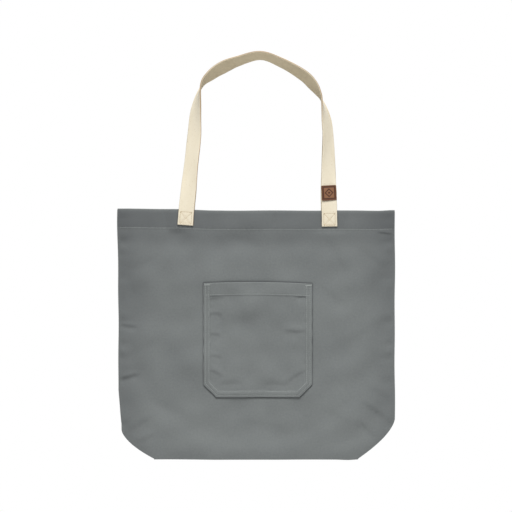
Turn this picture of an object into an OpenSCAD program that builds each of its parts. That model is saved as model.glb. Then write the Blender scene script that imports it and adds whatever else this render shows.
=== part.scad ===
// Canvas tote bag with a patch pocket and two webbing handles, hanging nearly flat.
// Origin at the bottom centre. +Z is up, the pocket side faces -Y. Millimetres.
// The base is boxed and folded up inside the bag as an upside-down V.

/* [Bag body] */
// Width across the side seams
body_w = 453; // [400:1:500]
// Height from the bottom fold to the mouth
body_h = 407; // [360:1:440]
// Half the depth of the base when it is unfolded
base_half = 64; // [50:1:70]
// Half-depth of the hanging bag at the middle of the mouth
mouth_depth = 21; // [19:0.5:23]
// Half-depth of the hanging bag at the middle of the bottom fold
fold_depth = 15; // [13:0.5:16]
// Half-depth where the two panels meet at a side seam
seam_depth = 1.6; // [1.5:0.1:2]
// Thickness of one layer of canvas
canvas_t = 1.1; // [0.9:0.1:1.2]
// How far the lower corners swell beyond a straight 45 degree fold, as an exponent
corner_swell = 1.7; // [1.2:0.1:2]

/* [Hems and seams] */
// Distance from the mouth to the hem's topstitching
hem_h = 31; // [25:1:38]
// Thickness of the turned-in hem
hem_t = 1.6; // [1:0.1:1.8]
// Width of a seam allowance inside the bag
allowance_w = 10; // [7:1:12]
// Width of a row of stitching
stitch_w = 0.9; // [0.6:0.1:1.2]
// How far a row of stitching stands out
stitch_t = 0.35; // [0.25:0.05:0.5]

/* [Pocket] */
// Centre of the pocket, left to right
pocket_x = 3; // [-20:1:20]
// Width of the pocket
pocket_w = 177; // [150:1:190]
// Height of the pocket's lower edge above the bottom fold
pocket_z = 101; // [95:1:110]
// Height of the pocket
pocket_h = 188; // [170:1:195]
// Length of the pocket's 45 degree lower corners
pocket_corner = 21; // [10:1:30]
// Depth of the pocket's hem
pocket_hem_h = 19.5; // [15:0.5:25]
// How far the pocket stands away from the bag at the middle of its mouth
pocket_bulge = 7; // [6.5:0.1:7.2]

/* [Handles] */
// Width of the webbing
strap_w = 25.4; // [20:0.1:26]
// Thickness of the webbing
strap_t = 2.6; // [2:0.1:3]
// How far the left sewn end reaches below the mouth. The right one is 2.2 mm longer
end_h = 26; // [22:1:30]
// Half-depth of the middle of each handle at its top
arch_depth = 18; // [17:0.5:18.5]
// Extra rise of the back handle, as a share of the front handle's
back_rise = 0.016; // [0:0.002:0.04]
// How much wider the back handle stands than the front one, as a share
back_spread = 0.008; // [0:0.002:0.02]
// Side of the square leather label
label_side = 24.5; // [20:0.5:25]
// Thickness of the leather
label_t = 1.6; // [1:0.1:2]

/* [Hidden] */

canvas_colour = [0.48, 0.50, 0.49];
lining_colour = [0.42, 0.44, 0.44];
thread_colour = [0.64, 0.66, 0.65];
webbing_colour = [0.92, 0.89, 0.80];
leather_colour = [0.47, 0.28, 0.16];

front = -1;
back = 1;
left = -1;
right = 1;
gap = 0.15;
loose_gap = 0.45;
half_w = body_w / 2;
fold_half = half_w - base_half;
pocket_half = pocket_w / 2;
pocket_top = pocket_z + pocket_h;
turn_under = 11;
pocket_dip = 2.5;
pocket_rows = [2.6, 9.3];
pocket_lift = 2 * canvas_t + gap;
seat = canvas_t + gap;

// The front handle's centre line: x, z and roll. Roll 0 faces the outer side out of the bag,
// 90 turns it away from the middle of the loop.
handle_route = [
    [-115, body_h - end_h, 0], [-113, 408, 0], [-109.6, 440, 10], [-106.2, 473, 26], [-100.6, 524, 30],
    [-97.4, 569, 52], [-88.6, 608, 97], [-73.4, 625, 126], [-54, 638, 138], [-30, 648, 126],
    [8, 657, 119], [42, 645.6, 122], [76.5, 625, 131], [91.5, 610.5, 128], [101.2, 596.8, 110],
    [106.8, 585, 92], [113.6, 556, 59], [117.2, 524, 47], [118, 473, 27], [118.4, 434, 7],
    [119.2, 408, 0], [119.7, body_h - end_h - 2.2, 0]
];
last_leg = len(handle_route) - 1;
label_at = last_leg - 2;
leg_above_label = norm(handle_route[label_at - 1] - handle_route[label_at]);
leg_below_label = norm(handle_route[label_at + 1] - handle_route[label_at]);

function mix(a, b, t) = a + (b - a) * t;
function clamp01(t) = max(0, min(1, t));
function smooth(t) = clamp01(t) * clamp01(t) * (3 - 2 * clamp01(t));

// Half-depth of the inside of a panel at x, z.
function depth(x, z) =
    mix(mix(fold_depth, mouth_depth, z / body_h), seam_depth, pow(min(1, abs(x) / half_w), 2));

// Half-width of a panel at height z: full width above the folded corners.
function edge(z) = half_w - base_half * pow(max(0, 1 - z / base_half), corner_swell);

// Centre surface of the folded-in base and of the tucks beside it.
function tucked(x, z) =
    let (low = max(0, abs(x) - fold_half),
         out = depth(x, low) - gap - canvas_t / 2,
         top = canvas_t / 2 + gap)
    mix(out, top, clamp01((z - low) / (base_half - low)));

// How far the pocket stands off the panel at x, z.
function bulge(x, z) =
    let (u = (x - pocket_x) / pocket_half, v = clamp01((z - pocket_z) / pocket_h))
    pocket_bulge * pow(max(0, 1 - u * u), 0.8) * pow(v, 0.7);

function pocket_face(x, z) = depth(x, z) + seat + pocket_lift + bulge(x, z);

// Half-width of the pocket at height z, inset by e all round.
function pocket_edge(z, e) =
    min(pocket_half - e, pocket_half - pocket_corner - e * sqrt(2) + z - pocket_z);

function steps(a, b, n) = [for (i = [0:n]) mix(a, b, i / n)];

// A grid of x, z points with a row at each height, from one edge to the other.
function grid(heights, cols, x0, x1) =
    [for (z = heights) [for (x = steps(x0(z), x1(z), cols)) [x, z]]];

// A grid two points wide along the line from p to q.
function strip(p, q, width, n) =
    let (across = [p[1] - q[1], q[0] - p[0]] / norm(q - p) * width / 2)
    [for (t = steps(0, 1, n)) [mix(p, q, t) - across, mix(p, q, t) + across]];

function cross_xz(a, b) = a[0] * b[1] - a[1] * b[0];

// A closed shell over a grid of x, z points, from y = side * inner to side * outer.
module shell(points, side, inner, outer) {
    rows = len(points);
    cols = len(points[0]);
    n = rows * cols;
    turn = cross_xz(points[0][1] - points[0][0], points[1][0] - points[0][0]);
    verts = [
        for (f = [inner, outer]) for (row = points) for (p = row) [p[0], side * f(p[0], p[1]), p[1]]
    ];
    inside = [for (r = [0:rows - 2]) for (c = [0:cols - 2])
        [r * cols + c, r * cols + c + 1, (r + 1) * cols + c + 1, (r + 1) * cols + c]];
    outside = [for (q = inside) [q[3] + n, q[2] + n, q[1] + n, q[0] + n]];
    rim = concat(
        [for (c = [0:cols - 1]) c],
        [for (r = [1:rows - 1]) r * cols + cols - 1],
        [for (c = [cols - 2:-1:0]) (rows - 1) * cols + c],
        [for (r = [rows - 2:-1:1]) r * cols]
    );
    wall = [for (k = [0:len(rim) - 1])
        let (a = rim[k], b = rim[(k + 1) % len(rim)]) [b, a, a + n, b + n]];
    faces = [for (q = concat(inside, outside, wall)) each [[q[0], q[1], q[2]], [q[0], q[2], q[3]]]];
    polyhedron(verts, side * turn < 0 ? [for (t = faces) [t[2], t[1], t[0]]] : faces);
}

// A layer that follows a panel, from one offset to another outside its inner face.
module layer(points, side, from, to) {
    shell(points, side, function(x, z) depth(x, z) + from, function(x, z) depth(x, z) + to);
}

// A row of stitching over a grid of points, standing on a surface.
module stitching(points, side, face) {
    shell(points, side, function(x, z) face(x, z) + 2 * gap,
        function(x, z) face(x, z) + 2 * gap + stitch_t);
}

/* Panels and hems */

module panel(side) {
    heights = concat(steps(0, base_half, 4), [for (t = steps(1 / 7, 1, 6)) mix(base_half, body_h, t)]);
    color(canvas_colour)
        layer(grid(heights, 20, function(z) -edge(z), function(z) edge(z)), side, 0, canvas_t);
}

module hem(side) {
    reach = half_w - allowance_w - 2;
    color(lining_colour)
        layer(grid([body_h - hem_h, body_h], 20, function(z) -reach, function(z) reach), side,
            -gap - hem_t, -gap);
}

module hem_stitching(side) {
    reach = half_w - 2;
    z = body_h - hem_h;
    color(thread_colour)
        stitching(strip([-reach, z], [reach, z], stitch_w, 24), side,
            function(x, z) depth(x, z) + canvas_t);
}

/* Folded base, tucks and seams */

module base_part(side) {
    reach = fold_half - 1;
    color(canvas_colour)
        shell(grid([0, base_half / 2, base_half], 14, function(z) -reach, function(z) reach), side,
            function(x, z) tucked(x, z) - canvas_t / 2, function(x, z) tucked(x, z) + canvas_t / 2);
}

module tuck(hand, side) {
    near = fold_half + 1;
    far = half_w - 4;
    points = [for (x = steps(near, far, 5)) [for (z = steps(x - fold_half, base_half, 4)) [hand * x, z]]];
    color(canvas_colour)
        shell(points, side,
            function(x, z) tucked(x, z) - canvas_t / 2, function(x, z) tucked(x, z) + canvas_t / 2);
}

module base_seam() {
    color(lining_colour)
        translate([2 - fold_half, -canvas_t, base_half + 1])
            cube([2 * fold_half - 4, 2 * canvas_t, allowance_w]);
}

// Runs down the side, then inwards above the tucks.
module side_seam(hand) {
    far = half_w - 1;
    near = far - allowance_w;
    low = base_half + 1;
    start = fold_half + 1;
    color(lining_colour)
        translate([0, canvas_t, 0])
            rotate([90, 0, 0])
                linear_extrude(2 * canvas_t)
                    polygon([
                        [hand * start, low], [hand * far, low], [hand * far, body_h - 2],
                        [hand * near, body_h - 2], [hand * near, low + allowance_w],
                        [hand * start, low + allowance_w]
                    ]);
}

module corner_seam(hand) {
    near = fold_half - 2;
    lift = canvas_t / 2 + loose_gap;
    heights = steps(20, base_half - 2, 2);
    color(lining_colour)
        for (side = [front, back])
            shell(grid(heights, 2, function(z) hand * near, function(z) hand * (near - allowance_w)), side,
                function(x, z) tucked(x, z) + lift, function(x, z) tucked(x, z) + lift + canvas_t);
}

/* Pocket */

function pocket_row(v, cols) =
    [for (u = steps(-1, 1, cols))
        let (z = pocket_z + v * (pocket_h - pocket_dip * u * u))
        [pocket_x + u * pocket_edge(z, 0), z]];

function turned_under(x, z) =
    pocket_edge(z, 0) - abs(x - pocket_x) < turn_under || z - pocket_z < turn_under;

module pocket_panel() {
    low = turn_under / pocket_h;
    heights = concat([0, low - 0.001, low + 0.001], steps(pocket_corner / pocket_h, 1, 9));
    color(canvas_colour)
        shell([for (v = heights) pocket_row(v, 20)], front,
            function(x, z) turned_under(x, z) ? depth(x, z) + seat : pocket_face(x, z) - canvas_t,
            function(x, z) pocket_face(x, z));
}

module pocket_hem() {
    reach = 0.8 * pocket_half - 0.5;
    high = pocket_top - pocket_dip;
    color(lining_colour)
        shell(grid([pocket_top - pocket_hem_h, high], 16,
                function(z) pocket_x - reach, function(z) pocket_x + reach), front,
            function(x, z) pocket_face(x, z) - 2 * canvas_t - gap,
            function(x, z) pocket_face(x, z) - canvas_t - gap);
}

// Left side, lower edge and right side of the pocket, inset by e.
function pocket_line(e) =
    let (low = pocket_z + e, turn = pocket_z + pocket_corner + e * (sqrt(2) - 1), high = pocket_top - 6)
    concat(
        [for (z = steps(high, turn, 12)) [pocket_x - pocket_edge(z, e), z]],
        [for (x = steps(-pocket_edge(low, e), pocket_edge(low, e), 12)) [pocket_x + x, low]],
        [for (z = steps(turn, high, 12)) [pocket_x + pocket_edge(z, e), z]]
    );

module pocket_stitching() {
    color(thread_colour)
        for (e = pocket_rows) {
            outer_line = pocket_line(e);
            inner_line = pocket_line(e + stitch_w);
            stitching([for (i = [0:len(outer_line) - 1]) [outer_line[i], inner_line[i]]], front,
                function(x, z) pocket_face(x, z));
        }
}

module pocket_hem_stitching() {
    reach = pocket_half - pocket_rows[1] - 2;
    z = pocket_top - pocket_hem_h;
    color(thread_colour)
        stitching(strip([pocket_x - reach, z], [pocket_x + reach, z], stitch_w, 24), front,
            function(x, z) pocket_face(x, z));
}

module pocket_bartacks() {
    outer_x = pocket_half - 2.5;
    z = pocket_top - 4;
    color(thread_colour)
        for (hand = [left, right])
            stitching(strip([pocket_x + hand * outer_x, z], [pocket_x + hand * (outer_x - 9.5), z], 2.2, 4),
                front, function(x, z) pocket_face(x, z) + stitch_t);
}

/* Handles */

// Only the part above the mouth differs between the two handles.
function route(side) =
    side == front ? handle_route
    : [for (p = handle_route)
        let (rise = max(0, p[1] - body_h))
        [p[0] * (1 + back_spread * smooth(rise / 60)), p[1] + back_rise * rise, p[2]]];

function spline(a, b, c, d, t) =
    0.5 * (2 * b + (c - a) * t + (2 * a - 5 * b + 4 * c - d) * t * t
        + (3 * b - a - 3 * c + d) * t * t * t);

function route_at(points, s) =
    let (k = min(max(floor(s), 0), last_leg - 1))
    spline(points[max(k - 1, 0)], points[k], points[k + 1], points[min(k + 2, last_leg)], s - k);

// Depth of the webbing's middle: on the panel at the mouth, arch_depth at the top.
function strap_depth(x, z) =
    mix(depth(x, body_h) + seat + strap_t / 2, arch_depth, smooth((z - body_h) / 150));

// The four corners of the webbing's section at s, between two offsets from its middle.
function section(points, side, s, half, from, to) =
    let (p = route_at(points, s),
         ahead = route_at(points, s + 0.02) - route_at(points, s - 0.02),
         along = [ahead[0], 0, ahead[1]] / norm([ahead[0], ahead[1]]),
         away = [-along[2], 0, along[0]],
         out = [0, side, 0],
         normal = out * cos(p[2]) + away * sin(p[2]),
         across = away * cos(p[2]) - out * sin(p[2]),
         middle = [p[0], side * strap_depth(p[0], p[1]), p[1]])
    [for (c = [[half, from], [-half, from], [-half, to], [half, to]])
        middle + across * c[0] + normal * c[1]];

module ribbon(side, s0, s1, rings, half, from, to) {
    points = route(side);
    verts = [for (s = steps(s0, s1, rings)) each section(points, side, s, half, from, to)];
    sides = [for (i = [0:rings - 1]) for (k = [0:3])
        let (a = 4 * i + k, b = 4 * i + (k + 1) % 4) each [[a, b + 4, b], [a, a + 4, b + 4]]];
    e = 4 * rings;
    faces = concat(sides, [[0, 1, 2], [0, 2, 3], [e + 2, e + 1, e], [e + 3, e + 2, e]]);
    polyhedron(verts, side == front ? faces : [for (t = faces) [t[2], t[1], t[0]]]);
}

module handle(side) {
    color(webbing_colour)
        ribbon(side, 1.04, last_leg - 1.04, 114, strap_w / 2, -strap_t / 2, strap_t / 2);
}

// s at a distance above or below the label's middle on the right leg.
function label_s(above) = label_at - above / (above > 0 ? leg_above_label : leg_below_label);

module leather_label() {
    half = label_side / 2;
    face = strap_t / 2 + loose_gap;
    color(leather_colour)
        ribbon(front, label_s(half), label_s(-half), 8, half, face, face + label_t);
}

module label_stitching() {
    half = label_side / 2 - 2.2;
    face = strap_t / 2 + 2 * loose_gap + label_t;
    color(thread_colour)
        for (above = [half, -half + stitch_w])
            ribbon(front, label_s(above), label_s(above - stitch_w), 1, half, face, face + stitch_t);
}

function end_foot(hand) = hand == left ? handle_route[0] : handle_route[last_leg];
function end_head(hand) = hand == left ? handle_route[1] : handle_route[last_leg - 1];

module handle_end(hand, side) {
    foot = end_foot(hand);
    head = end_head(hand);
    middle = function(z) mix(foot[0], head[0], (z - foot[1]) / (head[1] - foot[1]));
    color(webbing_colour)
        layer(grid(steps(foot[1], body_h - 0.5, 3), 6,
                function(z) middle(z) - strap_w / 2, function(z) middle(z) + strap_w / 2), side,
            seat, seat + strap_t);
}

// A sewn box with a cross in it, on each end of a handle.
module handle_stitching(side) {
    half = 9.3 - stitch_w / 2;
    reach = half - stitch_w;
    face = function(x, z) depth(x, z) + seat + strap_t;
    color(thread_colour)
        for (hand = [left, right]) {
            c = [end_foot(hand)[0], end_foot(hand)[1] + 3.4 + 9.3];
            for (k = [-1, 1]) {
                stitching(strip(c + [-half - stitch_w / 2, k * half], c + [half + stitch_w / 2, k * half],
                    stitch_w, 4), side, face);
                stitching(strip(c + [k * half, -reach], c + [k * half, reach], stitch_w, 2), side, face);
                stitching(strip(c + k * [reach, -reach], c + k * [stitch_w, -stitch_w], stitch_w, 2),
                    side, face);
            }
            stitching(strip(c - [reach, reach], c + [reach, reach], stitch_w, 4), side, face);
        }
}

panel(front);  // front_panel
hem(front);  // front_hem
hem_stitching(front);  // front_hem_stitching
pocket_panel();
pocket_hem();
pocket_stitching();
pocket_hem_stitching();
pocket_bartacks();
handle_end(left, front);  // front_handle_end_left
handle_end(right, front);  // front_handle_end_right
handle_stitching(front);  // front_handle_stitching
handle(front);  // front_handle
leather_label();
label_stitching();
panel(back);  // back_panel
hem(back);  // back_hem
hem_stitching(back);  // back_hem_stitching
handle_end(left, back);  // back_handle_end_left
handle_end(right, back);  // back_handle_end_right
handle_stitching(back);  // back_handle_stitching
handle(back);  // back_handle
base_part(front);  // base_front_half
base_part(back);  // base_back_half
base_seam();
side_seam(left);  // left_side_seam
side_seam(right);  // right_side_seam
corner_seam(left);  // left_corner_seam
corner_seam(right);  // right_corner_seam
tuck(left, front);  // left_front_tuck
tuck(left, back);  // left_back_tuck
tuck(right, front);  // right_front_tuck
tuck(right, back);  // right_back_tuck
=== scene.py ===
"""A grey canvas tote bag with a patch pocket and two webbing handles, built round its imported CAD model."""
import math

import bpy
import numpy as np
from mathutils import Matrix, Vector


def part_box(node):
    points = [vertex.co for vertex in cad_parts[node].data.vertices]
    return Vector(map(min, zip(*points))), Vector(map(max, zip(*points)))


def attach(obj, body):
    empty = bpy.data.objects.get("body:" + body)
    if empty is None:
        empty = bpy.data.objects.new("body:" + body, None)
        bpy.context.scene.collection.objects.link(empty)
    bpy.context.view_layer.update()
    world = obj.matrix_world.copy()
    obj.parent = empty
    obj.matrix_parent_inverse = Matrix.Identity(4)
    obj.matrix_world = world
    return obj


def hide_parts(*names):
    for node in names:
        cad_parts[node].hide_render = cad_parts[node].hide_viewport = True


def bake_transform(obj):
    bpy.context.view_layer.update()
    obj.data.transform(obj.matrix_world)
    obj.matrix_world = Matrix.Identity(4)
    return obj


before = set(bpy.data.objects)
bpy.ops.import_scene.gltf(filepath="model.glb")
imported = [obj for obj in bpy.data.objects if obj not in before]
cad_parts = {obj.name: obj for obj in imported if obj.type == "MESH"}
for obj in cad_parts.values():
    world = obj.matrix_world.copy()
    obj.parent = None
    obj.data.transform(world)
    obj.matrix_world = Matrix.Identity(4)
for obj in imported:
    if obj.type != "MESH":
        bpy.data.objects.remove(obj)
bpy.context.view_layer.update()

# Shapes are worked out in millimetres. Meshes, materials and the rest of the scene are in metres.
MM = 0.001
FRONT, BACK = -1, 1
LEFT, RIGHT = -1, 1
WORD = {FRONT: "front", BACK: "back"}
HAND_WORD = {LEFT: "left", RIGHT: "right"}


# --- sizes, from the CAD model


def corners(node):
    """A CAD node's lowest and highest corners, in millimetres."""
    return [[v / MM for v in corner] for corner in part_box(node)]


panel_lo, panel_hi = corners("front_panel")
pocket_lo, pocket_hi = corners("pocket_panel")
pocket_hem_lo, pocket_hem_hi = corners("pocket_hem")

CANVAS_T = 1.1
GAP = 0.15
SEAM_DEPTH = 1.6
HALF_W, BODY_H = panel_hi[0], panel_hi[2]
BASE_HALF = corners("base_front_half")[1][2]
FOLD_HALF = HALF_W - BASE_HALF
MOUTH_DEPTH = -panel_lo[1] - CANVAS_T
FOLD_DEPTH = 15
FOLD_R = 1.2
MOUTH_R = 1.35
MOUTH_CORNER = 2.6
CENTRE_GAP = 0.2
SEAM_LAP = 0.05
ALLOWANCE_W = 10
SEAM_INSET = 2.6
HEM_H = 31
HEM_T = 1.6
HEM_REACH = corners("front_hem")[1][0]

POCKET_X = (pocket_lo[0] + pocket_hi[0]) / 2
POCKET_HALF = (pocket_hi[0] - pocket_lo[0]) / 2
POCKET_Z = pocket_lo[2]
POCKET_H = pocket_hi[2] - pocket_lo[2]
POCKET_R = 1.1
POCKET_CORNER = 21
POCKET_HEM_H = 19.5
POCKET_DIP = 2.5
POCKET_ROWS = (3.7, 9.0)

STRAP_W = 25.4
STRAP_T = 2.4
END_H = 26
ARCH_DEPTH = 18
BACK_RISE = 0.016
BACK_SPREAD = 0.008
# The handles' centre line, as in the CAD model: x, z, and roll in degrees.
HANDLE_ROUTE = [
    (-115, 381, 0), (-113, 408, 0), (-109.6, 440, 10), (-106.2, 473, 26), (-100.6, 524, 30),
    (-97.4, 569, 52), (-88.6, 608, 97), (-73.4, 625, 126), (-54, 638, 138), (-30, 648, 126),
    (8, 657, 119), (42, 645.6, 122), (76.5, 625, 131), (91.5, 610.5, 128), (101.2, 596.8, 110),
    (106.8, 585, 92), (113.6, 556, 59), (117.2, 524, 47), (118, 473, 27), (118.4, 434, 7),
    (119.2, 408, 0), (119.7, 378.8, 0),
]
LAST_LEG = len(HANDLE_ROUTE) - 1
END_X = (HANDLE_ROUTE[0][0], HANDLE_ROUTE[-1][0])
# The box stitched on each end of a handle: half its side, and its middle's height above the end.
BOX_HALF = 9.3
BOX_UP = 3.4 + BOX_HALF

LABEL_AT = LAST_LEG - 2
LABEL_TILT = math.radians(-2.2)
LABEL_SIDE = 24.5
LABEL_T = 1.6
LABEL_INSET = 1.3

# The radius of a thread: on the hems and label, on the pocket, in its bartacks, and on the handles.
FINE_THREAD, POCKET_THREAD, BARTACK_THREAD, HANDLE_THREAD = 0.24, 0.4, 0.34, 0.3
# How far apart the points of a line of stitches are.
LINE_STEP = 0.75


# --- small maths


def smooth(t):
    t = np.clip(t, 0, 1)
    return t * t * (3 - 2 * t)


def mix(a, b, t):
    return a + (b - a) * t


def bell(distance, width):
    """1 at no distance, fading to 0 over about twice the width."""
    return np.exp(-((distance / width) ** 2))


def rounded(t):
    """A quarter circle: 0 at 0, upright there, and level with 1 from 1 on."""
    return np.sqrt(1 - (1 - np.clip(t, 0, 1)) ** 2)


def waves(x, z, seed, length, spread, count=10, lean=0.0, turn=math.pi):
    """Soft random undulations of about 1, with wavelengths around length and directions around lean."""
    rng = np.random.default_rng(seed)
    total = np.zeros(np.broadcast(x, z).shape)
    for _ in range(count):
        angle = lean + turn * (rng.random() - 0.5)
        k = 2 * math.pi / (length * (1 + spread * (rng.random() - 0.5)))
        phase = 2 * math.pi * rng.random()
        total += np.sin(k * (x * math.cos(angle) + z * math.sin(angle)) + phase)
    return total / math.sqrt(count / 2)


def ripple(t, seed, length, spread, count):
    """Undulations along one line."""
    return waves(t, 0 * t, seed, length, spread, count, 0.0, 0.01)


def crease(x, z, a, b, width, deep):
    """A valley from a to b, with a ridge above it and a slow rise below. It fades out at both ends."""
    (ax, az), (bx, bz) = sorted([a, b])
    dx, dz = bx - ax, bz - az
    length = math.hypot(dx, dz)
    along = ((x - ax) * dx + (z - az) * dz) / length
    across = ((x - ax) * dz - (z - az) * dx) / length
    fade_in = smooth((along + width) / (length * 0.35 + width))
    fade_out = smooth((length + width - along) / (length * 0.35 + width))
    valley = bell(across, np.where(across > 0, 2.3 * width, width))
    ridge = bell(across + 1.7 * width, 1.4 * width)
    return deep * fade_in * fade_out * (0.4 * ridge - valley)


# --- the shape of the hanging bag


def depth(x, z):
    """Half-depth of the inside of a panel, as in the CAD model."""
    middle = mix(FOLD_DEPTH, MOUTH_DEPTH, z / BODY_H)
    return mix(middle, SEAM_DEPTH, np.minimum(1, np.abs(x) / HALF_W) ** 2)


def roundness(x, z):
    """How far the cloth swells beyond the CAD model's plain curve, to roll over towards the side seams."""
    u = np.minimum(1, np.abs(x) / HALF_W)
    middle = mix(FOLD_DEPTH, MOUTH_DEPTH, z / BODY_H) - SEAM_DEPTH
    return middle * (u**2 - u**3.4) * smooth(z / 60)


def hang(x, z):
    """The mouth is held upright. The cloth dips under the hem, and swells below that and at the fold."""
    across = smooth((HALF_W - np.abs(x)) / 70)
    shape = 2.6 * bell(z - 285, 52) + 3.4 * bell(z - 8, 34) - 3.2 * bell(z - 349, 21)
    return shape * across - 1.1 * np.clip((z - BODY_H + 8) / 8, 0, 1) ** 2


def edge(z, hand):
    """Half-width of a panel. The left side draws in lower down than the right, and its corner is rounder."""
    wavy = 0.3 * np.sin(z / 17 + 2 * hand) + 0.25 * np.sin(z / 41)
    if hand == LEFT:
        taper = 1.9 * smooth((BODY_H - 8 - z) / 110) + 5.6 * np.clip((112 - z) / 55, 0, 1)
        corner = 55.5 * np.clip(1 - z / 48, 0, 1) ** 1.7
    else:
        taper = 0.0
        corner = 62 * np.clip(1 - z / 66, 0, 1) ** 1.6
    top = MOUTH_CORNER - np.sqrt(MOUTH_CORNER**2 - np.clip(z - BODY_H + MOUTH_CORNER, 0, MOUTH_CORNER) ** 2)
    return HALF_W + 0.2 - taper - corner - top + wavy * smooth(z / BASE_HALF)


def mouth_height(x):
    """The mouth's edge is a little higher at both ends, most of all at the left."""
    left = 2.7 * smooth((-x - 70) / 70) + 0.6 * np.clip((-x - 140) / 85, 0, 1)
    return BODY_H - 1.9 + left + 1.1 * smooth((x - 198) / 24) + 0.25 * np.sin(x / 19)


def hem_line(x):
    """Height of the hem's row of stitches."""
    return mouth_height(x) - HEM_H


# Each crease: its two ends as x and z, its width and its depth.
CREASES = {
    FRONT: [
        ((-226, 217), (-192, 213), 2.6, 1.9), ((-226, 127), (-188, 137), 2.8, 1.9),
        ((-222, 300), (-150, 330), 7, 1.0), ((-215, 160), (-140, 200), 9, 1.2),
        ((226, 365), (196, 368), 2.4, 1.4), ((222, 300), (160, 345), 8, 1.1),
        ((222, 230), (140, 180), 9, 1.1), ((214, 60), (170, 92), 5, 1.5),
        ((196, 30), (165, 62), 4, 1.2), ((220, 92), (180, 116), 6, 1.2),
        ((-212, 40), (-170, 66), 5, 1.2), ((-196, 24), (-160, 40), 4, 1.0),
        ((-100, 372), (-150, 300), 8, 1.0), ((104, 372), (150, 290), 8, 1.0),
        ((-60, 366), (20, 340), 8, 0.8), ((-180, 96), (-100, 60), 8, 1.0),
        ((100, 80), (175, 45), 8, 1.0), ((29, 404), (28, 378), 1.6, 0.9),
        ((-30, 60), (60, 40), 9, 0.8), ((95, 285), (150, 240), 7, 0.9),
    ],
    BACK: [
        ((-224, 190), (-180, 205), 3, 1.3), ((224, 250), (190, 240), 2.6, 1.3),
        ((-215, 320), (-120, 285), 9, 1.2), ((215, 330), (110, 270), 9, 1.2),
        ((-190, 120), (-60, 190), 12, 1.3), ((190, 110), (70, 160), 12, 1.3),
        ((-105, 372), (-60, 290), 9, 1.1), ((108, 372), (50, 280), 9, 1.1),
        ((-210, 45), (-165, 75), 5, 1.3), ((205, 45), (160, 78), 5, 1.3),
        ((-120, 60), (-20, 45), 9, 0.9), ((40, 70), (140, 50), 9, 0.9),
    ],
}


def under_strap(x, z):
    """1 where a handle's end is sewn on, fading to 0 around it."""
    gap = np.minimum(np.abs(x - END_X[0]), np.abs(x - END_X[1]))
    return smooth((34 - gap) / 18) * smooth((z - BODY_H + END_H + 16) / 14)


def relief(side, x, z):
    """How far the cloth stands off its plain shape: undulations, folds, creases, and puckers at seams."""
    seed = 11 if side == FRONT else 29
    inward = HALF_W - np.abs(x)
    body = 1.3 * waves(x, z, seed, 150, 0.8, 9, 0.9, 2.4)
    body += 0.6 * waves(x, z, seed + 1, 62, 0.7, 12, 1.1, 2.6)
    body += folds(side, x, z)
    out = body * smooth(inward / 30) * (1 - under_strap(x, z)) + roundness(x, z) + hang(x, z)
    free = smooth((inward - 1.5) / 7)
    for a, b, width, deep in CREASES[side]:
        out = out + crease(x, z, a, b, width, deep) * free
    # the side seams draw the cloth into short ripples
    out += 0.6 * ripple(z, seed + 2, 34, 0.9, 8) * bell(inward, 17) * free
    # the hem is stiffer, and stands out over its lower fold
    over = z - hem_line(x)
    out = out + 0.5 * smooth((over + 3) / 3)
    return out - 0.35 * bell(over, 1.1) + 0.16 * ripple(x, seed + 3, 9, 0.8, 10) * bell(over, 5)


def face(side, x, z):
    """Depth of a panel's outer face."""
    return depth(x, z) + CANVAS_T + relief(side, x, z)


def tucked(x, z):
    """Centre of the folded-in base and of the tucks beside it, as in the CAD model."""
    low = np.maximum(0, np.abs(x) - FOLD_HALF)
    out = depth(x, low) - GAP - CANVAS_T / 2
    return mix(out, CANVAS_T / 2 + GAP, np.clip((z - low) / (BASE_HALF - low), 0, 1))


# --- meshes from grids of points


def grid_normals(p):
    """Unit normals of a grid of points, rows by columns by xyz."""
    n = np.cross(np.gradient(p, axis=1), np.gradient(p, axis=0))
    return n / np.maximum(np.linalg.norm(n, axis=2, keepdims=True), 1e-12)


def mesh_object(name, verts, faces, material=None, cloth=None, tone_and_painted_shade=None):
    """A smooth mesh of points in millimetres. cloth is where they lie on the flat material, in metres."""
    me = bpy.data.meshes.new(name)
    me.from_pydata((verts * MM).tolist(), [], faces.tolist())
    me.validate()
    me.polygons.foreach_set("use_smooth", [True] * len(me.polygons))
    kinds = ("cloth", "FLOAT_VECTOR", "vector", cloth), ("tone_and_painted_shade", "FLOAT", "value", tone_and_painted_shade)
    for label, kind, key, values in kinds:
        if values is not None:
            attribute = me.attributes.new(label, kind, "POINT")
            attribute.data.foreach_set(key, np.asarray(values, np.float32).ravel())
    if material:
        me.materials.append(material)
    obj = bpy.data.objects.new(name, me)
    bpy.context.scene.collection.objects.link(obj)
    return obj


def grid_quads(rows, cols):
    index = np.arange(rows * cols).reshape(rows, cols)
    grid = np.stack([index[:-1, :-1], index[:-1, 1:], index[1:, 1:], index[1:, :-1]], axis=-1)
    return grid.reshape(-1, 4)


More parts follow.
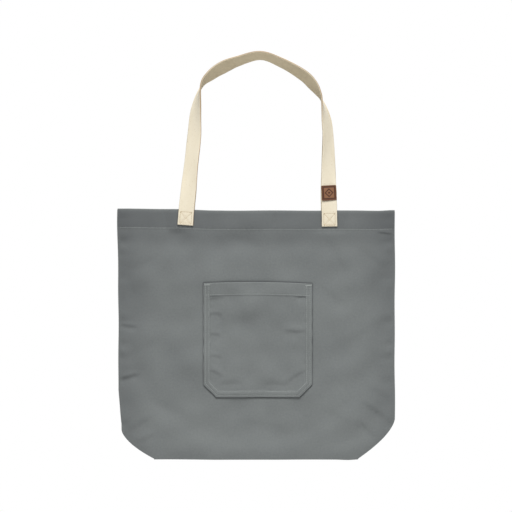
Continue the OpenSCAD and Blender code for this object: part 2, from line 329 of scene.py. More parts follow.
def shell(name, outer, inner, material, cloth, tone_and_painted_shade=None):
    """A closed skin over two matching grids of points. tone_and_painted_shade is one grid for both, or one for
    each.
    """
    rows, cols = outer.shape[:2]
    n = rows * cols
    index = np.arange(n).reshape(rows, cols)
    rim = np.concatenate([index[0], index[1:, -1], index[-1, -2::-1], index[-2:0:-1, 0]])
    after = np.roll(rim, -1)
    quads = grid_quads(rows, cols)
    faces = np.concatenate([quads, quads[:, ::-1] + n, np.stack([after, rim, rim + n, after + n], axis=1)])
    facing = np.cross(outer[0, 1] - outer[0, 0], outer[1, 0] - outer[0, 0])
    if np.dot(facing, outer[0, 0] - inner[0, 0]) < 0:
        faces = faces[:, ::-1]
    verts = np.concatenate([outer.reshape(-1, 3), inner.reshape(-1, 3)])
    # the inner face is cut from another place on the cloth
    cloth = cloth.reshape(-1, 3)
    cloth = np.concatenate([cloth, cloth + [310, 170, 0]]) * MM
    if tone_and_painted_shade is not None:
        both = tone_and_painted_shade if isinstance(tone_and_painted_shade, tuple) else (tone_and_painted_shade, tone_and_painted_shade)
        tone_and_painted_shade = np.concatenate([part.ravel() for part in both])
    return mesh_object(name, verts, faces, material, cloth, tone_and_painted_shade)


def place(side, x, z, deep):
    """Points at x, z and a depth on one side of the bag's middle."""
    x, z, deep = np.broadcast_arrays(x, z, deep)
    return np.stack([x, side * deep, z], axis=-1)


def flat(x, z):
    """Points at x, z on the flat cloth."""
    return np.stack(np.broadcast_arrays(x, z, 0 * (x + z)), axis=-1)


def slab(name, side, x, z, outside, inside, material, tone_and_painted_shade=None):
    """A flat-lying piece of cloth between two depths on one side of the bag's middle."""
    return shell(name, place(side, x, z, outside), place(side, x, z, inside), material, flat(x, z), tone_and_painted_shade)


def inside_of(points, side, thickness):
    """The same grid moved in by a thickness, towards the bag's middle."""
    n = grid_normals(points)
    return points - n * np.sign(np.sum(n[..., 1]) * side) * thickness


# --- how each panel sags, by cloth simulation

DRAPE_COLS, DRAPE_ROWS = 92, 83
DRAPE_FRAMES = 26
# Only part of the simulated folds is kept, and none deeper than the limit.
DRAPE_GAIN, DRAPE_LIMIT = 0.45, 1.5
# The finest and the widest folds that are kept, in cells of the grid.
DRAPE_FINEST, DRAPE_WIDEST = 1.6, 14
# How firmly the hem is held, from 0 to 1.
HEM_HOLD = 0.35
DRAPE_SETTINGS = {
    "vertex_group_mass": "pins", "quality": 7, "mass": 0.06, "tension_stiffness": 45,
    "compression_stiffness": 45, "shear_stiffness": 25, "bending_stiffness": 12, "air_damping": 2.5,
    "shrink_min": -0.0045,
}


def softened(field, reach):
    """A grid blurred over about reach of its cells."""
    for _ in range(2):
        cell = np.arange(len(field))
        weight = bell(cell[:, None] - cell, reach)
        field = (weight / weight.sum(axis=1, keepdims=True) @ field).T
    return field


def drape(side):
    """Hang a slightly slack panel from its seams and handle, and return the folds that it settles into."""
    x = np.linspace(-HALF_W, HALF_W, DRAPE_COLS)[None, :]
    z = np.linspace(0, BODY_H, DRAPE_ROWS)[:, None]
    rest = depth(x, z) + roundness(x, z) + hang(x, z)
    seed = 401 if side == FRONT else 402
    points = place(side, x, z, rest + 0.8 * waves(x, z, seed, 90, 0.9, 14, 1.2, 2.4) * smooth(z / 20))
    obj = mesh_object("drape", points.reshape(-1, 3), grid_quads(DRAPE_ROWS, DRAPE_COLS))
    at_end = sum((np.abs(x - end) < 15) & (z > BODY_H - END_H) for end in END_X) > 0
    held = (np.abs(x) > HALF_W - 3) | (z < 3) | at_end
    in_hem = ~held & (z > BODY_H - HEM_H)
    pins = obj.vertex_groups.new(name="pins")
    pins.add(np.flatnonzero(held).tolist(), 1.0, "REPLACE")
    pins.add(np.flatnonzero(in_hem).tolist(), HEM_HOLD, "REPLACE")
    modifier = obj.modifiers.new("cloth", "CLOTH")
    for key, value in DRAPE_SETTINGS.items():
        setattr(modifier.settings, key, value)
    modifier.collision_settings.use_collision = False
    modifier.point_cache.frame_end = DRAPE_FRAMES
    for number in range(1, DRAPE_FRAMES + 1):
        bpy.context.scene.frame_set(number)
    moved = np.empty(points.size)
    hung = obj.evaluated_get(bpy.context.evaluated_depsgraph_get())
    hung.data.vertices.foreach_get("co", moved)
    bpy.context.scene.frame_set(1)
    bpy.data.meshes.remove(obj.data)
    out = side * moved.reshape(points.shape)[..., 1] / MM - rest
    # only its folds are kept: the bag's overall shape is already right
    kept = DRAPE_GAIN * (softened(out, DRAPE_FINEST) - softened(out, DRAPE_WIDEST))
    return DRAPE_LIMIT * np.tanh(kept / DRAPE_LIMIT)


DRAPED = {side: drape(side) for side in (FRONT, BACK)}


def folds(side, x, z):
    """The simulated folds at any point of a panel."""
    field = DRAPED[side]
    col = np.clip((x + HALF_W) / (2 * HALF_W), 0, 1) * (DRAPE_COLS - 1)
    row = np.clip(z / BODY_H, 0, 1) * (DRAPE_ROWS - 1)
    c = np.minimum(col.astype(int), DRAPE_COLS - 2)
    r = np.minimum(row.astype(int), DRAPE_ROWS - 2)
    low, high = (mix(field[k, c], field[k, c + 1], col - c) for k in (r, r + 1))
    return mix(low, high, row - r)


# --- materials


class Material:
    """A procedural material with one Principled shader."""

    def __init__(self, name, **values):
        self.material = bpy.data.materials.new(name)
        self.material.use_nodes = True
        self.tree = self.material.node_tree
        self.shader = self.tree.nodes["Principled BSDF"]
        for key, value in values.items():
            self.shader.inputs[key.replace("_", " ").title().replace("Ior", "IOR")].default_value = value

    def add(self, kind, inputs=(), **settings):
        made = self.tree.nodes.new(kind)
        for key, value in settings.items():
            setattr(made, key, value)
        for key, value in dict(inputs).items():
            self.put(value, made.inputs[key])
        return made

    def put(self, value, socket):
        if isinstance(value, bpy.types.NodeSocket):
            self.tree.links.new(value, socket)
        else:
            socket.default_value = value

    def math(self, operation, a, b=0.0):
        return self.add("ShaderNodeMath", {0: a, 1: b}, operation=operation).outputs[0]

    def sum(self, a, b):
        return self.math("ADD", a, b)

    def times(self, a, b):
        return self.math("MULTIPLY", a, b)

    def attribute(self, name, output="Fac"):
        return self.add("ShaderNodeAttribute", attribute_name=name).outputs[output]

    def cloth(self):
        """Where a point lies on the flat material, and the parts of that."""
        at = self.attribute("cloth", "Vector")
        return at, *self.add("ShaderNodeSeparateXYZ", {0: at}).outputs[:3]

    def tone_and_painted_shade(self):
        """The tone_and_painted_shade attribute above zero, and below zero, where it is painted shade."""
        tone_and_painted_shade = self.attribute("tone_and_painted_shade")
        return self.math("MAXIMUM", tone_and_painted_shade, 0.0), self.math("MAXIMUM", self.times(tone_and_painted_shade, -1.0), 0.0)

    def noise(self, vector, scale, detail, roughness=0.5):
        """Noise of this many cells a metre, as one number or along each axis."""
        scale = scale if isinstance(scale, tuple) else (scale, scale, scale)
        at = self.add("ShaderNodeVectorMath", {0: vector, 1: scale}, operation="MULTIPLY").outputs[0]
        inputs = {"Vector": at, "Scale": 1.0, "Detail": detail, "Roughness": roughness}
        return self.add("ShaderNodeTexNoise", inputs).outputs["Fac"]

    def remap(self, value, low, high, to_low=0.0, to_high=1.0):
        inputs = {0: value, 1: low, 2: high, 3: to_low, 4: to_high}
        return self.add("ShaderNodeMapRange", inputs).outputs[0]

    def mixed(self, factor, a, b):
        return self.add("ShaderNodeMix", {0: factor, 6: a, 7: b}, data_type="RGBA").outputs[2]

    def bump(self, height, distance, strength, normal=None):
        """A normal bumped by a height, over a distance in millimetres."""
        inputs = {"Height": height, "Distance": distance * MM, "Strength": strength}
        if normal is not None:
            inputs["Normal"] = normal
        return self.add("ShaderNodeBump", inputs).outputs["Normal"]

    def finish(self, colour, normal, roughness=None):
        self.put(colour, self.shader.inputs["Base Color"])
        self.put(normal, self.shader.inputs["Normal"])
        if roughness is not None:
            self.put(roughness, self.shader.inputs["Roughness"])
        return self.material


def rgb(red, green, blue):
    """Linear colour from sRGB values of 0 to 255."""
    channels = [c / 255 for c in (red, green, blue)]
    return tuple(c / 12.92 if c <= 0.04045 else ((c + 0.055) / 1.055) ** 2.4 for c in channels) + (1.0,)


def canvas_material(name, light, dark, worn, deep, thread=0.55):
    """Plain-weave cotton canvas: crossing threads, slubs, faint mottling, paler folds, and painted shade."""
    m = Material(name, roughness=0.92, sheen_weight=0.12, sheen_roughness=0.55, specular_ior_level=0.22)
    at, x, z, _ = m.cloth()
    # the threads wander a little
    drift = m.times(m.noise(at, 60, 1.0), 0.9)
    warp, weft = (m.math("SINE", m.sum(m.times(v, math.pi / (thread * MM)), drift)) for v in (x, z))
    weave = m.times(warp, weft)
    uneven = m.sum(m.noise(at, (1500, 90, 1), 2.0), m.noise(at, (90, 1500, 1), 2.0))
    height = m.sum(m.times(weave, 0.5), m.times(uneven, 0.9))
    mottle = m.noise(at, 9, 4.0, 0.6)
    tone = m.sum(m.remap(mottle, 0.3, 0.7, 0.1, 0.72), m.remap(uneven, 0.7, 1.3, -0.12, 0.38))
    tone = m.sum(tone, m.remap(m.noise(at, 330, 2.0), 0.3, 0.7, -0.36, 0.36))
    tone = m.sum(tone, m.times(weave, 0.08))
    colour = m.mixed(m.remap(tone, 0.0, 1.0), rgb(*dark), rgb(*light))
    # below zero is painted shade, drawn towards the deep colour: over the hem, towards the side seams and in
    # the crevices
    rubbed, painted_shade = m.tone_and_painted_shade()
    colour = m.mixed(m.times(rubbed, m.remap(uneven, 0.8, 1.2, 0.35, 0.8)), colour, rgb(*worn))
    colour = m.mixed(painted_shade, colour, rgb(*deep))
    fuzz = m.noise(at, 900, 2.0)
    normal = m.bump(height, 0.11, 0.8, m.bump(fuzz, 0.05, 0.5))
    return m.finish(colour, normal, m.remap(fuzz, 0.3, 0.7, 0.86, 0.97))


def thread_material(name, light, dark):
    """Spun polyester sewing thread with a twist."""
    m = Material(name, roughness=0.6, sheen_weight=0.1, specular_ior_level=0.35)
    at, along, around, _ = m.cloth()
    twist = m.math("SINE", m.sum(m.times(along, 2 * math.pi / (0.45 * MM)), m.times(around, 2.0)))
    shade = m.noise(at, (300, 300, 37), 2.0)
    tone = m.sum(m.remap(twist, -1, 1, 0, 0.5), m.remap(shade, 0.35, 0.65, 0, 0.5))
    return m.finish(m.mixed(tone, rgb(*dark), rgb(*light)), m.bump(twist, 0.05, 0.7))


def webbing_material():
    """Natural cotton webbing: a herringbone face, warmer selvedges with painted shade on them, painted shade on
    its underside, and specks of seed husk.
    """
    look = {"roughness": 0.88, "sheen_weight": 0.15, "sheen_roughness": 0.6, "specular_ior_level": 0.22}
    m = Material("cream_webbing", **look)
    at, across, along, _ = m.cloth()
    # herringbone: diagonal ribs which turn at each of the chevrons across the width
    chevron = m.math("PINGPONG", across, 3.2 * MM)
    drift = m.times(m.noise(at, (120, 120, 1), 1.0), 1.2)
    phase = m.times(m.sum(chevron, along), 2 * math.pi / (1.25 * MM))
    rib = m.math("SINE", m.sum(phase, drift))
    ends = m.math("SINE", m.times(across, 2 * math.pi / (0.62 * MM)))
    height = m.sum(m.sum(m.times(rib, 0.5), m.times(ends, 0.22)), m.noise(at, (1700, 90, 1), 2.0))
    mottle = m.noise(at, (70, 22, 1), 3.0)
    tone = m.sum(m.remap(mottle, 0.3, 0.7, 0.1, 0.55), m.remap(rib, -1, 1, 0.0, 0.4))
    colour = m.mixed(m.remap(tone, 0, 1), rgb(234, 223, 197), rgb(245, 237, 216))
    # above zero, the selvedges are warmer, and deeper where painted shade falls on them; below zero is painted
    # shade on the underside of the webbing
    warm_edges_and_shade, back = m.tone_and_painted_shade()
    colour = m.mixed(m.times(warm_edges_and_shade, 0.85), colour, rgb(184, 146, 102))
    colour = m.mixed(back, colour, rgb(216, 200, 166))
    specks = m.times(m.remap(m.noise(at, (620, 480, 1), 1.0), 0.705, 0.75), 0.75)
    colour = m.mixed(specks, colour, rgb(168, 132, 86))
    fuzz = m.noise(at, (1100, 1100, 1), 2.0)
    normal = m.bump(height, 0.09, 0.7, m.bump(fuzz, 0.03, 0.5))
    return m.finish(colour, normal, m.remap(fuzz, 0.3, 0.7, 0.8, 0.95))


def leather_material():
    """Vegetable-tanned leather, darkened where it is pressed in and cut."""
    m = Material("brown_leather", roughness=0.55, specular_ior_level=0.4)
    at = m.attribute("cloth", "Vector")
    cells = m.add("ShaderNodeTexVoronoi", {"Vector": at, "Scale": 1300.0}, feature="DISTANCE_TO_EDGE")
    pores = m.remap(cells.outputs["Distance"], 0.0, 0.25)
    grain = m.noise(at, 420, 5.0, 0.6)
    tone = m.sum(m.remap(m.noise(at, 110, 3.0), 0.3, 0.7, 0.0, 0.6), m.remap(grain, 0.3, 0.7, 0.0, 0.4))
    # below zero is the paler leather inside the pressed square
    pressed, pale = m.tone_and_painted_shade()
    colour = m.mixed(pale, m.mixed(tone, rgb(98, 61, 39), rgb(130, 84, 56)), rgb(142, 101, 72))
    colour = m.mixed(m.times(pressed, 0.92), colour, rgb(56, 31, 19))
    roughness = m.sum(m.remap(grain, 0.3, 0.7, 0.46, 0.62), m.times(pressed, 0.1))
    return m.finish(colour, m.bump(m.sum(m.times(pores, 0.6), grain), 0.07, 0.7), roughness)


# the last colour of each canvas is its painted shade
deep_grey = (92, 95, 96)
canvas = canvas_material("grey_canvas", (124, 128, 127), (116, 120, 120), (138, 142, 140), (96, 99, 100))
lining = canvas_material("grey_canvas_inside", (120, 124, 124), (109, 113, 114), (134, 138, 137), deep_grey)
binding = canvas_material("seam_tape", (118, 122, 122), (99, 103, 103), (137, 140, 139), deep_grey, 0.4)
grey_thread = thread_material("grey_thread", (172, 177, 174), (140, 145, 143))
cream_thread = thread_material("cream_thread", (202, 186, 154), (170, 152, 120))
brown_thread = thread_material("brown_thread", (112, 72, 46), (70, 42, 26))
webbing = webbing_material()
leather = leather_material()


# --- panels and hems

# How far round a rolled border each of its extra grid lines is.
ARC = np.linspace(0, math.pi, 9)[1:]


def with_finer(lines, places, reach):
    """Grid lines, closer together within reach of each place."""
    for at in places:
        kept = lines[np.abs(lines - at) > reach * 1.1]
        lines = np.sort(np.concatenate([kept, at + reach * np.linspace(-1, 1, 16)]))
    return lines


def spaced(*runs):
    """Grid lines from runs of a start, an end and a count. Each run but the last stops short of its end."""
    return np.concatenate([np.linspace(*run, endpoint=run is runs[-1]) for run in runs])


def rolled(s, v):
    """Grid lines with more for the rolled borders, and the angles by which those turn down, up and out."""
    still = np.zeros(len(ARC))
    down = np.concatenate([ARC[::-1], 0 * v, still])[:, None]
    up = np.concatenate([still, 0 * v, ARC])[:, None]
    out = np.concatenate([ARC[::-1], 0 * s, ARC])[None, :]
    s = np.concatenate([still - 1, s, still + 1])[None, :]
    v = np.concatenate([still, v, still + 1])[:, None]
    return s, v, down, up, out


def panel(side):
    """One side of the bag. Its borders roll inwards: over the hem, at the side seams and under the base."""
    rows = spaced((0, 0.905, 150), (0.905, 0.942, 20), (0.942, 1, 14))
    rows = with_finer(rows, [POCKET_Z / BODY_H, (POCKET_Z + POCKET_H) / BODY_H], 5 / BODY_H)
    columns = [POCKET_X - POCKET_HALF, POCKET_X + POCKET_HALF]
    columns += [HANDLE_ROUTE[leg][0] + k * STRAP_W / 2 for leg in (1, -2) for k in (-1, 1)]
    columns = with_finer(np.linspace(-1, 1, 204), [c / HALF_W for c in columns], 4.5 / HALF_W)
    s, v, down, up, out = rolled(columns, rows)

    level = mix(FOLD_R, BODY_H - MOUTH_R, v)
    x = s * (np.where(s < 0, edge(level, LEFT), edge(level, RIGHT)) - FOLD_R)
    droop = 0.9 * bell(x - 150, 13)
    z = mix(FOLD_R - 0.5 - droop, mouth_height(x) - MOUTH_R, v)
    deep = face(side, x, z) - FOLD_R * (2 - np.cos(down) - np.cos(out)) - MOUTH_R * (1 - np.cos(up))
    px = x + np.sign(s) * FOLD_R * np.sin(out)
    pz = z - FOLD_R * np.sin(down) + MOUTH_R * np.sin(up)
    outer = place(side, px, pz, np.maximum(deep, CENTRE_GAP))
    inner = inside_of(outer, side, CANVAS_T)
    inner[..., 1] = side * np.maximum(side * inner[..., 1], 0.05)
    inset = 0.4
    inner[..., 0] = np.clip(inner[..., 0], px.min(1, keepdims=True) + inset, px.max(1, keepdims=True) - inset)
    inner[..., 2] = np.clip(inner[..., 2], pz.min(0, keepdims=True) + inset, pz.max(0, keepdims=True) - inset)
    cloth = flat(x + np.sign(s) * FOLD_R * out, z - FOLD_R * down + MOUTH_R * up)
    tone_and_painted_shade = panel_tone_and_painted_shade(side, x, z, down, up, out)
    return shell(f"{WORD[side]}_panel_cloth", outer, inner, canvas, cloth, tone_and_painted_shade)


def panel_tone_and_painted_shade(side, x, z, down, up, out):
    """Rubbed pale round the borders, with painted shade over the hem, towards the side seams, higher up, and in
    the crevices round the pocket and beside the handle ends.
    """
    rubbed = np.maximum(np.maximum(bell(up - 1.2, 0.8), bell(down - 1.2, 0.8)), 0.8 * bell(out - 1.2, 0.8))
    # painted shade: darker over the hem, towards the side seams, in a band under the hem, higher up the bag,
    # and towards the left and the bottom
    hem_shade = 0.45 * smooth((z - hem_line(x) - 0.5) / 2) * smooth((mouth_height(x) - z) / 6)
    side_and_under_hem_shade = 0.5 * smooth(1 - (HALF_W - np.abs(x)) / 75) + 0.2 * bell(z - 362, 14)
    upper_shade = 0.3 * smooth((z - 210) / 150)
    rim = smooth((z - 250) / 100) * smooth((-x - 170) / 30)
    uneven = 0.14 * smooth((-x - 60) / 60) * (1 - rim) + 0.14 * smooth((40 - z) / 40)
    tone_and_painted_shade = rubbed - (hem_shade + side_and_under_hem_shade + upper_shade + uneven) * (1 - rubbed)
    # painted shade in the crevice round the pocket's sewn borders and just above its mouth
    if side == FRONT:
        beside = -inset_of(x, np.minimum(z, POCKET_Z + POCKET_H / 2))
        above = z - pocket_top(x)
        outline = bell(beside - 0.3, 1) * (above < 1)
        mouth = bell(above - 0.2, 2.2) * (beside < 0)
        tone_and_painted_shade = np.minimum(tone_and_painted_shade, mix(tone_and_painted_shade, -1.1, np.maximum(outline, mouth)))
    # painted shade in the crevices beside the handles, above their ends
    for (foot, low, _), (top, high, _) in (HANDLE_ROUTE[:2], HANDLE_ROUTE[:-3:-1]):
        gap = np.abs(x - np.interp(z, [low, high], [foot, top])) - STRAP_W / 2
        tone_and_painted_shade = np.minimum(tone_and_painted_shade, mix(tone_and_painted_shade, -1.2, bell(gap - 0.6, 1) * (z > low)))
    return tone_and_painted_shade


def hem(side):
    """The turned-down band inside the mouth."""
    x = np.linspace(-HEM_REACH, HEM_REACH, 180)[None, :]
    t = np.concatenate([np.linspace(0, 0.04, 8), np.linspace(0.06, 1, 18)])[:, None]
    low, high = hem_line(x) - 2, mouth_height(x) - MOUTH_R + 0.1
    z = mix(low, high, t)
    half = HEM_T / 2
    thick = half * rounded((z - low) / half)
    sway = 0.25 * waves(x, z, 41 + side, 26, 0.8, 8, 0.0, 0.8) * smooth((high - z) / 20)
    middle = face(side, x, z) - CANVAS_T - GAP - half + sway * (1 - t)
    outside, inside = np.maximum(middle + thick, 0.9), np.maximum(middle - thick, 0.1)
    return slab(f"{WORD[side]}_hem_band", side, x, z, outside, inside, lining, 0.6 * bell(z - low, 1.2))


# --- the folded-in base, the tucks and the seams


def inner_sheet(name, side, x, z, middle, seed):
    """A single layer of cloth inside the bag, with its own soft unevenness."""
    middle = middle + 0.25 * waves(x, z, seed, 40, 0.8, 8, 0.6, 2.6)
    middle = np.maximum(middle, CANVAS_T / 2 + 0.1)
    return slab(name, side, x, z, middle + CANVAS_T / 2, middle - CANVAS_T / 2, lining)


def base_half(side):
    """Half of the base, folded up inside the bag from the panel's lower edge to the seam in the middle."""
    reach = FOLD_HALF + SEAM_LAP
    x = np.linspace(-reach, reach, 120)[None, :]
    t = np.linspace(0, 1, 36)[:, None]
    z = mix(FOLD_R - 0.4, BASE_HALF, t)
    start = face(side, x, 0 * x) - 2 * FOLD_R + CANVAS_T / 2
    middle = mix(start, tucked(x, z), smooth(t * 2.5))
    return inner_sheet(f"base_{WORD[side]}_cloth", side, x, z, middle, 51 + side)


def tuck(hand, side):
    """The triangle of cloth folded in behind a lower corner, from the panel's slanting edge."""
    levels = np.linspace(0, BASE_HALF, 200)
    outline = edge(levels, hand) - FOLD_R
    x = np.linspace(FOLD_HALF - SEAM_LAP, outline[-1] - 2, 40)[None, :]
    low = np.minimum(np.interp(x, outline, levels), BASE_HALF - 1)
    t = np.linspace(0, 1, 26)[:, None]
    start = face(side, hand * x, low) - 2 * FOLD_R + CANVAS_T / 2
    middle = mix(start, CANVAS_T / 2 + GAP, t)
    name = f"{HAND_WORD[hand]}_{WORD[side]}_tuck_cloth"
    return inner_sheet(name, side, hand * x, mix(low, BASE_HALF, t), middle, 61 + 2 * hand + side)


def allowance(name, x, z, u, sway, run, width, rim=0.0):
    """A bound seam allowance in the middle of the bag, u being 0 to 1 across it. Its edges thin to a rim."""
    r = np.minimum(np.minimum(u, 1 - u) * ALLOWANCE_W / CANVAS_T, 1)
    thick = rim + (1 - rim) * CANVAS_T * rounded(r)
    near, away = (np.stack(np.broadcast_arrays(x, sway + k * thick, z), -1) for k in (-1, 1))
    return shell(name, near, away, binding, flat(width * u, run), bell(r, 0.6) + 0 * x)


def side_seam(hand):
    """The turned-in edges of both panels: down the side, then inwards above the folded corner."""
    low = BASE_HALF + 1
    u = np.linspace(0, 1, 10)
    rows = []
    for z in np.linspace(BODY_H - 4, low + ALLOWANCE_W, 130):
        rows.append(np.stack([edge(z, hand) - SEAM_INSET - ALLOWANCE_W * u, z + 0 * u], 1))
    pivot = np.array([edge(low, hand) - SEAM_INSET - ALLOWANCE_W, low + ALLOWANCE_W])
    for angle in np.linspace(0, math.pi / 2, 10)[1:]:
        stretch = ALLOWANCE_W / max(math.cos(angle), math.sin(angle))
        tip = pivot + [stretch * math.cos(angle), -stretch * math.sin(angle)]
        rows.append(mix(tip, pivot, u[:, None]))
    for x in np.linspace(pivot[0], FOLD_HALF + 1, 22)[1:]:
        rows.append(np.stack([x + 0 * u, low + ALLOWANCE_W * u], 1))
    x, z = np.moveaxis(np.array(rows), 2, 0)
    sway = 0.3 * waves(z, hand * x, 73 + hand, 60, 0.8, 6, 0.0, 0.3) * u
    run = 2.6 * np.arange(len(rows))[:, None]
    return allowance(f"{HAND_WORD[hand]}_side_allowance", hand * x, z, u, sway, run, ALLOWANCE_W, 0.02)


def base_seam():
    """The turned-in edges of both halves of the base."""
    reach = FOLD_HALF + 0.5
    run = np.linspace(0, 2 * reach, int(2 * reach / 2.5))[:, None]
    u = np.concatenate([np.linspace(0, 0.1, 5), np.linspace(0.2, 0.8, 6), np.linspace(0.9, 1, 5)])
    sway = 0.2 * ripple(run, 71, 55, 0.8, 6) * u
    return allowance("base_allowance", reach - run, BASE_HALF + 1 + ALLOWANCE_W * u, u, sway, run, -ALLOWANCE_W)


def corner_seam(hand):
    """Two turned-in edges where a tuck meets the base."""
    z = np.linspace(20, BASE_HALF - 2, 20)[:, None]
    x = hand * np.linspace(FOLD_HALF - 2, FOLD_HALF - 2 - ALLOWANCE_W, 10)[None, :]
    near = tucked(x, z) + CANVAS_T / 2 + 0.45
    parts = [slab("part", side, x, z, near + CANVAS_T, near, binding, 0 * near) for side in (FRONT, BACK)]
    return merge(parts, f"{HAND_WORD[hand]}_corner_allowance")


def merge(objects, name):
    """Several objects as one."""
    bpy.ops.object.select_all(action="DESELECT")
    for obj in objects:
        obj.select_set(True)
    bpy.context.view_layer.objects.active = objects[0]
    bpy.ops.object.join()
    objects[0].name = name
    objects[0].data.name = name
    return objects[0]


# --- pocket


def pocket_reach(z, inset=0.0):
    """Half-width of the pocket at height z, inset all round, with its lower corners cut off at 45 degrees."""
    cut = POCKET_HALF - POCKET_CORNER - inset * math.sqrt(2) + z - POCKET_Z
    return np.minimum(POCKET_HALF - inset, cut)


def pocket_top(x):
    """The mouth of the pocket bows upwards, and its right end is a little lower."""
    u = (x - POCKET_X) / POCKET_HALF
    return POCKET_Z + POCKET_H - POCKET_DIP * u**2 - 0.6 * u - 0.3


POCKET_CREASES = [
    ((-80, 231), (-56, 234), 4.0, 1.3), ((-80, 201), (-58, 199), 3.6, 1.1),
    ((-80, 165), (-56, 164), 3.6, 1.0), ((-78, 143), (-56, 132), 4.0, 1.3),
    ((86, 202), (44, 206), 4.8, 1.5), ((83, 141), (52, 122), 4.8, 1.3),
    ((-60, 118), (-20, 122), 7, 0.8), ((10, 119), (60, 116), 7, 0.8),
    ((-78, 259), (-50, 262), 2.6, 0.5), ((85, 262), (64, 263), 2.0, 0.7),
    ((-50, 215), (30, 230), 12, 0.6), ((-40, 160), (40, 176), 12, 0.6),
]


def inset_of(x, z):
    """Distance from x, z to the nearest sewn border of the pocket: left, right, bottom or cut corner."""
    u = np.abs(x - POCKET_X)
    low_gap = z - POCKET_Z
    corner_gap = (POCKET_HALF - POCKET_CORNER - u + low_gap) / math.sqrt(2)
    return np.minimum(np.minimum(POCKET_HALF - u, low_gap), corner_gap)


def pocket_face(x, z):
    """Depth of the pocket's outer face: sewn down along its borders, and off the panel towards its mouth."""
    inset = np.maximum(inset_of(x, z), 0)
    u = np.clip(np.abs(x - POCKET_X) / POCKET_HALF, 0, 1)
    v = np.clip((z - POCKET_Z) / POCKET_H, 0, 1)
    free = smooth((inset - 9) / 26)
    # its borders are double, and so is its hem, to a little below the hem's row of stitches
    over = z - pocket_top(x) + POCKET_HEM_H
    out = 2 * CANVAS_T + GAP - 0.85 * smooth((inset - 10.2) / 1.6)
    out = out + 0.55 * smooth((over + 3.2) / 2.4) * smooth((inset - 8) / 3)
    out = out + free * (1 - u**2) ** 0.6 * (0.8 + 1.8 * v**1.3)
    out = out + 0.55 * waves(x, z, 84, 46, 0.8, 10, 0.2, 2.2) * free
    # the rows of stitches pull it in, and it puffs out and puckers between and beside them
    out = out - 0.38 * sum(bell(inset - row, 0.75) for row in POCKET_ROWS)
    out = out - 0.35 * bell(over, 0.75) * smooth(inset / 9) + 0.35 * bell(inset - 6, 2.4)
    near_rows = bell(inset - 11, 5) + 0.3 * bell(inset - 5, 3)
    out = out + 0.14 * waves(x, z, 83, 11, 0.9, 12, 0.0, 3.1) * near_rows
    for a, b, width, deep in POCKET_CREASES:
        out = out + 1.6 * crease(x, z, a, b, width, deep) * smooth((inset - 8) / 4)
    return face(FRONT, x, z) + np.maximum(out, 1.1)


def pocket():
    """The patch pocket, with its borders turned under and its mouth folded over a hem."""
    rows = spaced((0, 0.08, 18), (0.08, 0.86, 74), (0.86, 1, 34))
    columns = spaced((-1, -0.84, 18), (-0.84, 0.84, 90), (0.84, 1, 18))
    s, v, down, up, out = rolled(columns, rows)
    level = mix(POCKET_Z + POCKET_R, POCKET_Z + POCKET_H - POCKET_R, v)
    x = POCKET_X + s * (pocket_reach(level) - POCKET_R)
    z = mix(POCKET_Z + POCKET_R, pocket_top(x) - POCKET_R, v)
    behind = face(FRONT, x, z) + 0.08
    fold = POCKET_R * (3 - np.cos(down) - np.cos(out) - np.cos(up))
    # the stitches pull the side borders in a little
    waver = 0.25 * waves(x, z, 85, 21, 0.8, 8, 0.0, 3.1)
    px = x + np.sign(s) * (POCKET_R * np.sin(out) + waver * np.abs(s) ** 30)
    pz = z + POCKET_R * (np.sin(up) - np.sin(down))
    outer = place(FRONT, px, pz, np.maximum(pocket_face(x, z) - fold, behind))
    inner = inside_of(outer, FRONT, CANVAS_T * 0.9)
    inner[..., 1] = np.minimum(inner[..., 1], -behind)
    # it is cut from another place on the cloth than the panel
    cloth = flat(x + np.sign(s) * POCKET_R * out + 13, z + POCKET_R * (up - down) + 21)
    rubbed = np.maximum(bell(up - 1.1, 0.7), 0.5 * np.maximum(bell(down - 1.1, 0.7), bell(out - 1.1, 0.7)))
    # painted shade on the turned-under borders where they meet the panel, and a painted shadow under the hem's
    # row of stitches, deeper towards its ends
    border_shade = smooth((np.maximum(down, out) - 0.9) / 0.6) * mix(1.0, 0.6, smooth(down))
    shadow_below_hem_row = bell(z - pocket_top(x) + POCKET_HEM_H + 2.4, 1) * smooth((inset_of(x, z) - 9) / 2)
    ends = 0.3 + 0.5 * smooth((np.abs(x - POCKET_X) / POCKET_HALF - 0.55) / 0.3)
    tone_and_painted_shade = mix(rubbed, -1.1, np.maximum(border_shade, ends * shadow_below_hem_row))
    return shell("pocket_cloth", outer, inner, canvas, cloth, tone_and_painted_shade)


def pocket_hem():
    """The inner layer of the pocket's hem."""
    x = np.linspace(pocket_hem_lo[0], pocket_hem_hi[0], 90)[None, :]
    t = np.concatenate([np.linspace(0, 0.08, 6), np.linspace(0.12, 1, 12)])[:, None]
    low = pocket_top(x) - POCKET_HEM_H - 2
    z = mix(low, pocket_top(x) - 2.4, t)
    half = 0.5
    thick = half * rounded((z - low) / half)
    middle = np.maximum(pocket_face(x, z) - CANVAS_T - 0.1 - half, face(FRONT, x, z) + half + 0.1)
    return slab("pocket_hem_band", FRONT, x, z, middle + thick, middle - thick, lining, 0 * z)


# --- stitches

# Along a stitch: the fraction of its length, and its girth and height as parts of the thread's radius.
STITCH_SHAPE = np.array([
    (0, 0.55, -0.9), (0.06, 0.85, -0.15), (0.2, 1, 0.45), (0.5, 1.06, 0.6),
    (0.8, 1, 0.45), (0.94, 0.85, -0.15), (1, 0.55, -0.9),
])
STITCH_SIDES = 8


